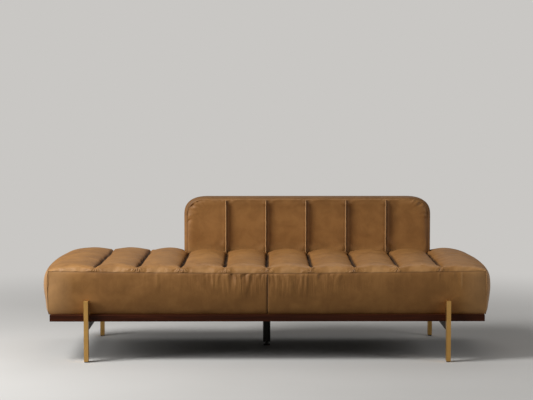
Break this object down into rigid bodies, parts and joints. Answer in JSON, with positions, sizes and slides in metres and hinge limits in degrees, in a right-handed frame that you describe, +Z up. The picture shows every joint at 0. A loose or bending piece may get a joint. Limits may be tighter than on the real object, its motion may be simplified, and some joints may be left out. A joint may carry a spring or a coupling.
{
  "type": "leather daybed",
  "caption": "Low daybed: channelled leather seat box, offset channelled back, walnut plinth, flat brass legs and a round centre leg with a levelling foot.",
  "frame": {"origin": "on the floor, under the middle of the plan", "axes": "+X to the right seen from the front, +Y to the rear (the front faces -Y), +Z up"},
  "size_m": [2.127, 0.86, 0.73],
  "materials": {
    "leather": "satin",
    "walnut": "satin",
    "hardwood": "matte",
    "foam": "matte",
    "webbing": "matte",
    "dust_cloth": "matte",
    "brass": "satin",
    "dark_steel": "satin",
    "zinc_steel": "satin",
    "nylon": "matte"
  },
  "bodies": {
    "daybed": {"back_band": "leather", "back_bottom_rail": "hardwood", "back_channel_1": "leather", "back_channel_2": "leather", "back_channel_3": "leather", "back_channel_4": "leather", "back_channel_5": "leather", "back_channel_6": "leather", "back_core_foam": "foam", "back_posts": "hardwood", "back_rear_panel": "leather", "back_top_rail": "hardwood", "centre_leg_insert": "zinc_steel", "centre_leg_plate": "dark_steel", "centre_leg_tube": "dark_steel", "corner_blocks": "hardwood", "dust_cover": "dust_cloth", "end_panel_left": "leather", "end_panel_right": "leather", "frame_beam_front": "hardwood", "frame_beam_left": "hardwood", "frame_beam_rear": "hardwood", "frame_beam_right": "hardwood", "frame_cross_beams": "hardwood", "front_panel_left": "leather", "front_panel_right": "leather", "leg_bolts": "zinc_steel", "leg_front_left": "brass", "leg_front_right": "brass", "leg_glides": "nylon", "leg_rear_left": "brass", "leg_rear_right": "brass", "plate_screws": "zinc_steel", "post_bolts": "zinc_steel", "rail_end_left": "walnut", "rail_end_right": "walnut", "rail_front": "walnut", "rail_rear": "walnut", "rear_panel": "leather", "seat_channel_1": "leather", "seat_channel_10": "leather", "seat_channel_2": "leather", "seat_channel_3": "leather", "seat_channel_4": "leather", "seat_channel_5": "leather", "seat_channel_6": "leather", "seat_channel_7": "leather", "seat_channel_8": "leather", "seat_channel_9": "leather", "seat_core_foam": "foam", "stretcher_left": "dark_steel", "stretcher_right": "dark_steel", "webbing_straps": "webbing"},
    "foot": {"leveller_pad": "nylon"},
    "stem": {"leveller_stem": "dark_steel"}
  },
  "joints": [
    {"name": "leveller_travel", "type": "slide", "parent": "daybed", "child": "foot", "axis": [0, 0, 1], "range_m": [-0.009, 0.0045]},
    {"name": "leveller_turn", "type": "hinge", "parent": "foot", "child": "stem", "pos_m": [0, 0.1, 0.02], "axis": [0, 0, 1], "range_deg": [-2170, 1090]}
  ],
  "couplings": [
    {"joint": "leveller_turn", "follows": "leveller_travel", "rad_per_m": 4188.8}
  ]
}
